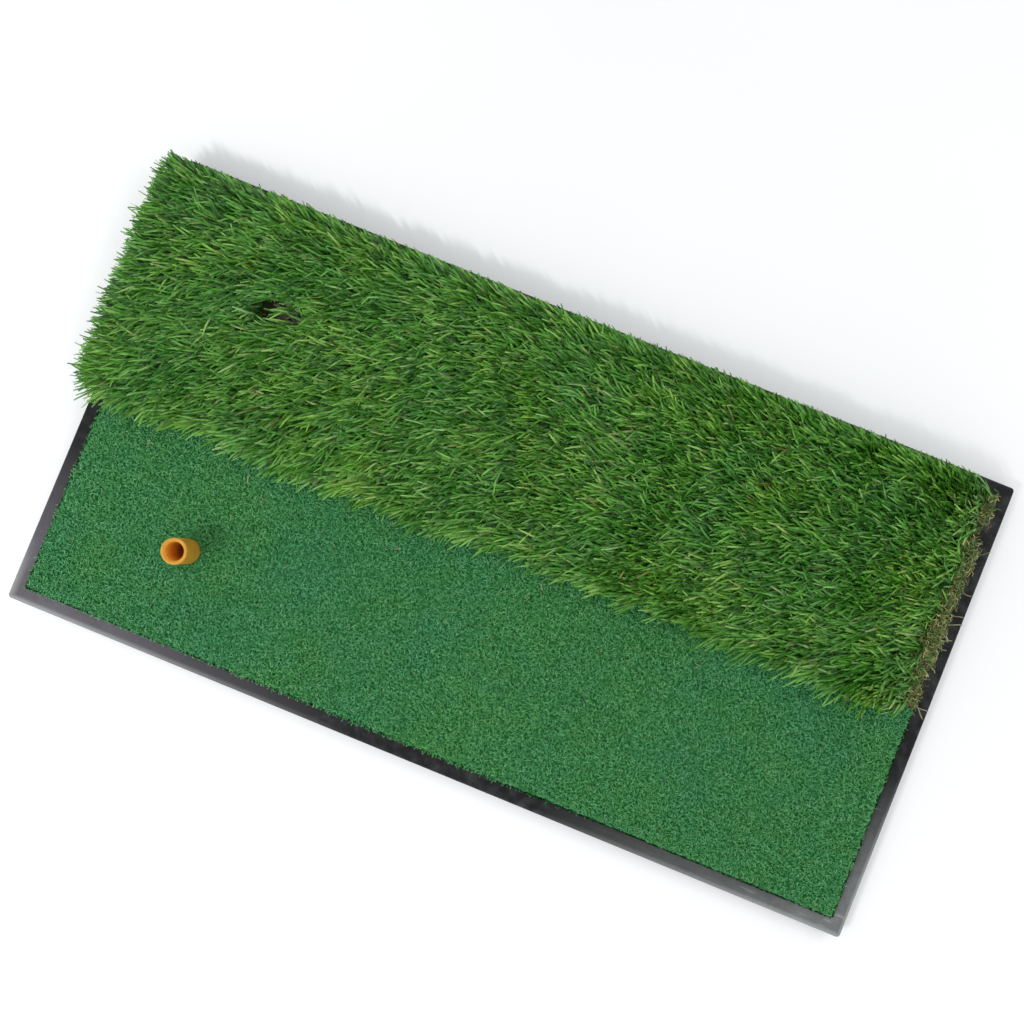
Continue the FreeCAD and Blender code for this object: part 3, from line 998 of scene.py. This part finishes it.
def tee_outline():
    """The tee's section as (radius, height), once round: up the outside and down the bore."""
    wall = TEE_RADIUS
    flange = (FOOT_HIGH[0] - FOOT_LOW[0]) / 2
    bottom, top = FOOT_LOW[2], TUBE_HIGH[2]
    flange_top = bottom + 3 * MM
    lip = 0.7 * MM
    edge = 0.8 * MM
    root = 1.0 * MM
    neck_steps = 13
    outline = [(TEE_BORE, bottom), (flange - edge, bottom)]
    outline += arc(flange - edge, bottom + edge, edge, -math.pi / 2)
    outline += arc(flange - edge, flange_top - edge, edge, 0.0)
    outline += [(wall + root, flange_top), (wall, flange_top + root)]
    outline += rings(wall, flange_top + root, NECK_LOW, 10)
    outline += rings(wall, NECK_LOW, NECK_HIGH, neck_steps)
    outline += rings(wall, NECK_HIGH, top - lip, 9)[:-1]
    outline += arc(wall - lip, top - lip, lip, 0.0)
    outline += [(TEE_BORE + TEE_SEAT, top - 0.05 * MM)]
    outline += [(TEE_BORE + 0.45 * TEE_SEAT, top - 0.4 * TEE_SEAT)]
    outline += [(TEE_BORE, top - TEE_SEAT)]
    outline += rings(TEE_BORE, top - TEE_SEAT, NECK_HIGH, 10)
    outline += rings(TEE_BORE, NECK_HIGH, NECK_LOW, neck_steps)
    outline += rings(TEE_BORE, NECK_LOW, bottom, 10)[:-1]
    return np.array(outline)


def make_tee_mesh():
    """The tee's section turned round its axis, a little uneven, its bore marked for painted light."""
    segments = 72
    profile = tee_outline()
    ring = len(profile)
    wobble = smooth_field(np.random.default_rng(41), ring, segments, grain=7)
    angles = np.linspace(0, 2 * math.pi, segments, endpoint=False)
    radius = profile[:, :1] + 0.04 * MM * np.clip(wobble, -2, 2)
    x = TEE_AXIS[0] + radius * np.cos(angles)
    y = TEE_AXIS[1] + radius * np.sin(angles)
    z = np.broadcast_to(profile[:, 1:], x.shape)
    number = np.arange(ring * segments).reshape(ring, segments)
    after, beside = np.roll(number, -1, 0), np.roll(number, -1, 1)
    across = np.roll(after, -1, 1)
    quads = np.stack([number, beside, across, after], -1).reshape(-1, 4)
    mesh = bpy.data.meshes.new("tee_moulding")
    mesh.from_pydata(np.stack([x, y, z], -1).reshape(-1, 3).tolist(), [], quads.tolist())
    work = bmesh.new()
    work.from_mesh(mesh)
    bmesh.ops.remove_doubles(work, verts=work.verts, dist=0.01 * MM)
    bmesh.ops.recalc_face_normals(work, faces=work.faces)
    work.to_mesh(mesh)
    work.free()
    mesh.shade_smooth()
    from_axis = np.array([math.dist(vertex.co[:2], TEE_AXIS) for vertex in mesh.vertices])
    add_attribute(mesh, "tee_bore", from_axis < TEE_BORE + 0.2 * TEE_SEAT)
    return mesh


def make_tee(material):
    """The whole tee as one mesh, flange, tube, bevelled seat and bore."""
    tee = make_object("tee_moulding", make_tee_mesh(), material, None, "tee_rubber")
    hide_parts("tee_foot", "tee_neck", "tee_tube")
    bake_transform(tee)


# ---- camera, floor and light


def add_camera():
    """Close above the mat and nearly straight down, turned so that the mat runs down to the right."""
    data = bpy.data.cameras.new("camera")
    data.sensor_width = 36.0
    data.lens = 39.385
    data.clip_start = 0.01
    camera = add_object("camera", data)
    camera.location = (11.8 * MM, -0.4 * MM, 777.4 * MM)
    camera.rotation_euler = (math.radians(1.944), math.radians(0.674), math.radians(22.046))
    bpy.context.scene.camera = camera


def add_floor():
    """White paper under the mat, wide enough to fill every view."""
    shader = Shader("studio_floor")
    mottle = shader.noise(shader.place(), scale=3.0, detail=2.0)
    share = shader.remap(mottle, 0.3, 0.7)
    colour = shader.mix(share, srgb(251, 251, 251), srgb(254, 254, 253))
    material = shader.finish(Base_Color=colour, Roughness=0.8, Specular_IOR_Level=0.2)
    mesh = bpy.data.meshes.new("studio_floor")
    reach = 6.0
    square = [(-reach, -reach, 0), (reach, -reach, 0), (reach, reach, 0), (-reach, reach, 0)]
    mesh.from_pydata(square, [], [(0, 1, 2, 3)])
    mesh.materials.append(material)
    floor = add_object("studio_floor", mesh)


def add_area_light(name, place, size, power):
    """A round lamp at a place, turned towards the middle of the mat."""
    data = bpy.data.lights.new(name, "AREA")
    data.shape = "DISK"
    data.size = size
    data.energy = power
    light = add_object(name, data)
    light.location = place
    toward = -np.array(place)
    heading = math.atan2(toward[1], toward[0])
    drop = math.atan2(math.hypot(toward[0], toward[1]), -toward[2])
    light.rotation_euler = (0.0, -drop, heading + math.pi)


def add_light():
    """A key lamp at the front left, a weaker and larger one opposite, and a bright, even sky."""
    add_area_light("key_light", place=(-1.2, -1.45, 2.25), size=0.8, power=147.0)
    add_area_light("fill_light", place=(1.6, 1.1, 2.2), size=1.8, power=55.0)
    world = bpy.data.worlds.new("studio")
    world.use_nodes = True
    background = world.node_tree.nodes["Background"]
    background.inputs["Color"].default_value = (0.95, 0.97, 1.0, 1.0)
    background.inputs["Strength"].default_value = 0.81
    bpy.context.scene.world = world
    bpy.context.scene.view_settings.view_transform = "Standard"


# ---- the scene

add_camera()
add_floor()
add_light()

blade_green = make_fibre_material(
    "blade_green",
    [
        (0.0, srgb(32, 83, 20)),
        (0.25, srgb(52, 114, 29)),
        (0.5, srgb(72, 139, 37)),
        (0.75, srgb(97, 162, 56)),
        # painted highlight: the two palest stops give some blades the whitish green of a glint
        (0.94, srgb(138, 187, 103)),
        (0.975, srgb(168, 198, 142)),
        (1.0, srgb(112, 98, 62)),
    ],
    patch_tints=(srgb(206, 240, 200), srgb(255, 255, 186)),
    painted_root_shade=0.42,
    roughness=0.38,
    painted_glint_strength=1.0,
)
curl_green = make_fibre_material(
    "curl_green",
    [
        (0.01, srgb(18, 52, 24)),
        (0.02, srgb(44, 118, 57)),
        (0.35, srgb(57, 139, 74)),
        (0.7, srgb(74, 154, 93)),
        (0.995, srgb(106, 172, 126)),
        (1.0, srgb(132, 146, 96)),
    ],
    patch_tints=(srgb(226, 250, 250), srgb(255, 255, 224)),
    painted_root_shade=0.84,
    roughness=0.48,
)
thatch_tan = make_fibre_material(
    "thatch_tan",
    [
        (0.0, srgb(92, 84, 42)),
        (0.3, srgb(140, 124, 70)),
        (0.5, srgb(172, 150, 92)),
        (0.7, srgb(96, 120, 52)),
        (1.0, srgb(64, 96, 40)),
    ],
    patch_tints=(srgb(255, 250, 240), srgb(235, 245, 225)),
    painted_root_shade=0.5,
    roughness=0.55,
)
thatch_cream = make_fibre_material(
    "thatch_cream",
    [
        (0.0, srgb(72, 68, 30)),
        (0.25, srgb(120, 118, 62)),
        (0.4, srgb(164, 156, 100)),
        (0.52, srgb(216, 206, 162)),
        (0.58, srgb(100, 132, 58)),
        (1.0, srgb(58, 102, 38)),
    ],
    patch_tints=(srgb(255, 246, 225), srgb(225, 240, 205)),
    painted_root_shade=0.35,
    roughness=0.5,
    painted_glint_strength=0.5,
)
yarn_grey = make_fibre_material(
    "yarn_grey",
    [
        (0.0, srgb(62, 56, 40)),
        (0.5, srgb(112, 108, 84)),
        (1.0, srgb(160, 158, 132)),
    ],
    patch_tints=(srgb(255, 250, 240), srgb(240, 245, 232)),
    painted_root_shade=0.7,
    roughness=0.6,
)
paint_node("base_tray", make_rubber_material("tray_rubber"))
make_backing(
    make_weave_material("backing_weave", srgb(20, 24, 20), srgb(60, 66, 58), 0.7),
    make_coat_material("latex_coat", srgb(22, 22, 22), srgb(52, 52, 50), 0.6),
    make_coat_material("glue_film", srgb(150, 132, 84), srgb(190, 172, 120), 0.35),
)
make_fairway_nap(make_pile_shade_material("fairway_depth", srgb(30, 84, 44), srgb(46, 110, 62)))
make_fairway_curls(curl_green)
make_tee_collar(curl_green)
make_fairway_wall(curl_green)
make_fairway_edge(curl_green)
make_rough_soil(make_pile_shade_material("rough_depth", srgb(20, 22, 12), srgb(46, 42, 26)))
make_blades(blade_green)
make_splayed_blades(blade_green)
make_hole_strands(yarn_grey)
make_thatch(
    "rough_thatch_inner",
    thatch_tan,
    seed=51,
    count=7000,
    low=ROUGH_LOW,
    spread=3.0,
    lengths=(8, 14),
    heights=(1, 6),
    tilts=(20, 100),
)
make_thatch(
    "rough_thatch_right",
    thatch_cream,
    seed=52,
    count=4200,
    low=np.array([ROUGH_HIGH[0] - 11 * MM, ROUGH_LOW[1]]),
    spread=2.6,
    lengths=(5, 11),
    heights=(0, 10),
    tilts=(30, 105),
    clumping=1.3,
)
make_strays(yarn_grey)
make_tee(make_tee_material("tee_amber"))
